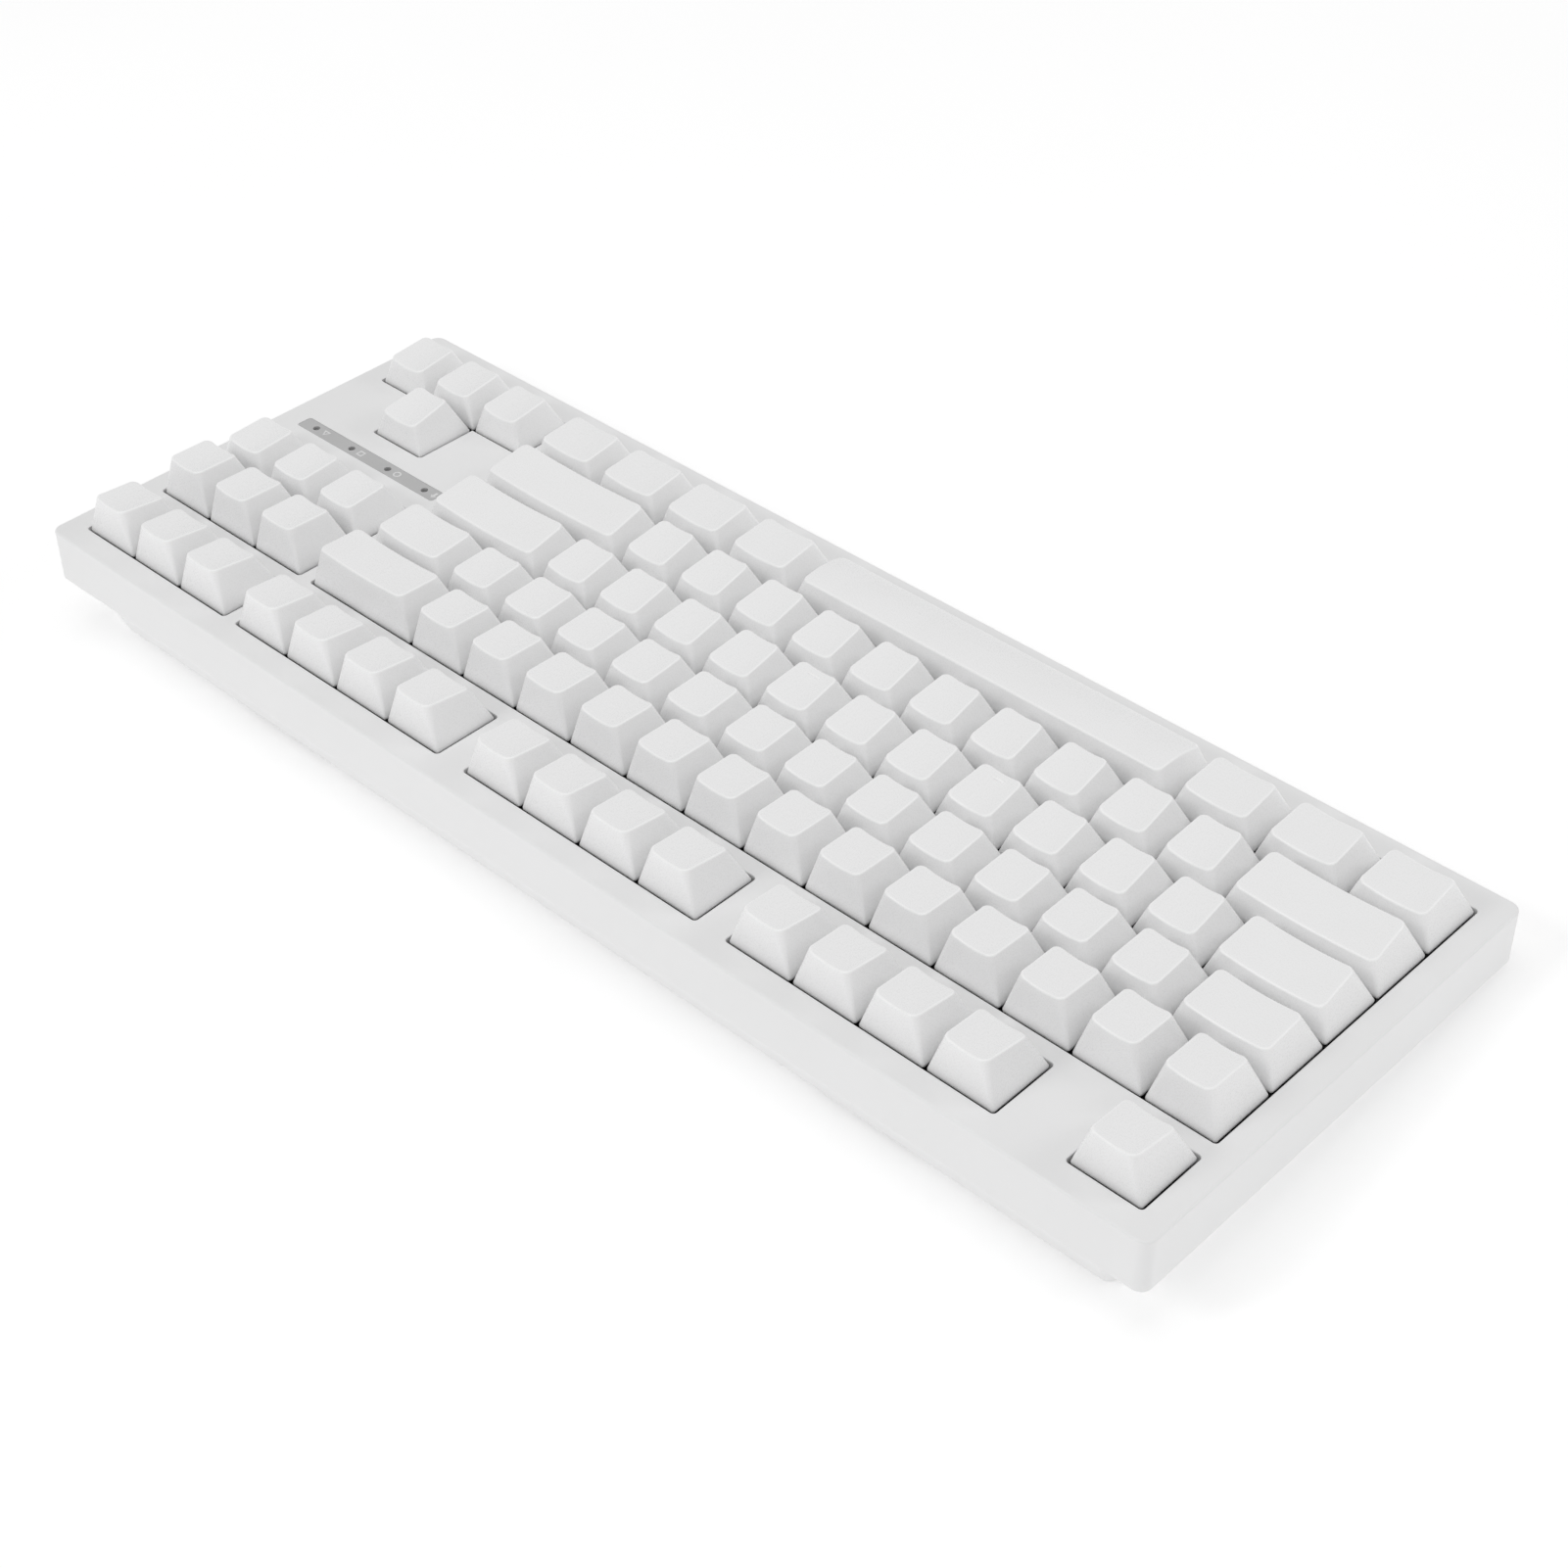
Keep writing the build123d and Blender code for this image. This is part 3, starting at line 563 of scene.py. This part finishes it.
# The rows, front to back, and each one from left to right. A pair is a key's body and its width
# in units, and a number is a gap.
ROWS = [
    [("modifier_keys", 1.25)] * 3 + [("space_bar", 6.25)] + [("modifier_keys", 1.25)] * 4
    + [CLUSTER_GAP] + [("arrow_keys", 1)] * 3,
    [("left_shift_key", 2.25)] + letters("zxcvbnm") + [("punctuation_keys", 1)] * 3
    + [("right_shift_key", 2.75), CLUSTER_GAP + 1, ("arrow_keys", 1)],
    [("modifier_keys", 1.75)] + letters("asdfghjkl") + [("punctuation_keys", 1)] * 2
    + [("enter_key", 2.25)],
    [("modifier_keys", 1.5)] + letters("qwertyuiop") + [("punctuation_keys", 1)] * 2
    + [("punctuation_keys", 1.5), CLUSTER_GAP] + [("navigation_keys", 1)] * 3,
    [("number_keys", 1)] * 13 + [("backspace_key", 2), CLUSTER_GAP] + [("navigation_keys", 1)] * 3,
    [("escape_key", 1), 1] + [("function_keys", 1)] * 4 + [0.5] + [("function_keys", 1)] * 4
    + [0.5] + [("function_keys", 1)] * 4 + [CLUSTER_GAP] + [("navigation_keys", 1)] * 3,
]


def build_keys():
    caps = {}
    stems = {}
    counts = {}
    spring = make_spring()
    for row, entries in enumerate(ROWS):
        y = (row + 0.5) * PITCH + (FUNCTION_ROW_GAP if row == FUNCTION_ROW else 0)
        edge = 0
        for entry in entries:
            if not isinstance(entry, tuple):
                edge += entry
                continue
            body, width = entry
            x = (edge + width / 2) * PITCH
            edge += width
            counts[body] = counts.get(body, 0) + 1
            label = f"{body}_{counts[body]}" if body.endswith("_keys") else body
            crowned = body == "space_bar"
            homing = body in ("key_f", "key_j")
            reach = STABILIZED.get(body)
            post_places = [0, -reach, reach] if reach else [0]
            shape = (width, row, crowned, homing, reach)
            if shape not in caps:
                caps[shape] = make_cap(f"cap_row{row}_{width}", width, row, crowned, homing,
                                       post_places)
            if reach not in stems:
                stems[reach] = make_stems(f"stems_{reach or 0}", post_places)
            cap = add_piece(f"{label}_cap", caps[shape], body,
                            FINISHES["key_plastic"], x, y)
            stem = add_piece(f"{label}_stem", stems[reach], body,
                             FINISHES["switch_black"], x, y)
            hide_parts(body)
            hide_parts(body)
            add_spring(label, body, spring, x, y)


# ------------------------------------------------------------------ indicator signs

def sign_shapes():
    """Four plain signs, each as loops of points on a 2 x 2 square; a second loop is a hole."""
    def circle(radius):
        turns = [math.tau * step / CIRCLE_STEPS for step in range(CIRCLE_STEPS)]
        return [(radius * math.cos(turn), radius * math.sin(turn)) for turn in turns]

    def square(half):
        return [(half, half), (-half, half), (-half, -half), (half, -half)]

    arrow = [(0, 1), (-0.8, 0.1), (-0.3, 0.1), (-0.3, -1), (0.3, -1), (0.3, 0.1), (0.8, 0.1)]
    triangle = [(0, 0.9), (-1, -0.8), (1, -0.8)]
    small_triangle = [(0, 0.3), (-0.5, -0.5), (0.5, -0.5)]
    return [(arrow,), (circle(0.95), circle(0.6)), (square(0.85), square(0.5)),
            (triangle, small_triangle)]


def make_sign(name, loops):
    """A thin printed sign. With a hole, the two loops have as many points as each other."""
    mesh = bmesh.new()
    levels = []
    for z in (STRIP_TOP - SIGN_ROOT, SIGN_TOP):
        levels.append([[mesh.verts.new((px * SIGN_SIZE * MM, py * SIGN_SIZE * MM, z * MM))
                        for px, py in loop] for loop in loops])
    for lower, upper in zip(*levels):
        for index in range(len(lower)):
            after = (index + 1) % len(lower)
            mesh.faces.new((lower[index], lower[after], upper[after], upper[index]))
    for level in levels:
        if len(level) == 1:
            mesh.faces.new(level[0])
            continue
        outer, inner = level
        for index in range(len(outer)):
            after = (index + 1) % len(outer)
            mesh.faces.new((outer[index], outer[after], inner[after], inner[index]))
    return finish_mesh(mesh, name)


def build_signs():
    for index, loops in enumerate(sign_shapes()):
        x = CLUSTER_X + (index - 1.5) * LAMP_SPACING - SIGN_OFFSET
        name = f"indicator_sign_{index + 1}"
        add_piece(name, make_sign(name, loops), "case", SIGN_INK, x, STRIP_Y)


# ------------------------------------------------------------------ stage

def build_floor():
    bpy.ops.mesh.primitive_plane_add(size=FLOOR_SIZE, location=(0, 0, 0))
    floor = bpy.context.object
    floor.name = "floor"
    paper = grained("floor_paper", (grey(0.93), grey(0.95)), (0.8, 0.95), 2.0, 0.01, patch=300,
                    specular=0.1)
    shader = paper.node_tree.nodes["Principled BSDF"]
    shader.inputs["Emission Color"].default_value = (1, 1, 1, 1)
    shader.inputs["Emission Strength"].default_value = FLOOR_GLOW
    floor.data.materials.append(paper)


def add_softbox(name, location, size, power):
    """A round lamp that faces the middle of the floor."""
    light = bpy.data.lights.new(name, "AREA")
    light.shape = "DISK"
    light.size = size
    light.energy = power
    lamp = bpy.data.objects.new(name, light)
    bpy.context.scene.collection.objects.link(lamp)
    lamp.location = location
    direction = Vector((0, 0, 0)) - lamp.location
    lamp.rotation_euler = direction.to_track_quat("-Z", "Y").to_euler()


def build_lights():
    world = bpy.data.worlds.new("studio")
    bpy.context.scene.world = world
    world.use_nodes = True
    background = world.node_tree.nodes["Background"]
    background.inputs["Color"].default_value = (1, 1, 1, 1)
    background.inputs["Strength"].default_value = SKY_STRENGTH
    for softbox in SOFTBOXES:
        add_softbox(*softbox)


def build_camera():
    camera = bpy.data.objects.new("camera", bpy.data.cameras.new("camera"))
    bpy.context.scene.collection.objects.link(camera)
    camera.location = CAMERA_PLACE
    camera.rotation_euler = Euler([math.radians(angle) for angle in CAMERA_TURN])
    camera.data.sensor_width = CAMERA_SENSOR
    camera.data.lens = CAMERA_LENS
    camera.data.clip_start = 0.01
    bpy.context.scene.camera = camera


build_keys()
build_signs()
build_floor()
build_lights()
build_camera()
bpy.context.scene.view_settings.view_transform = "Standard"
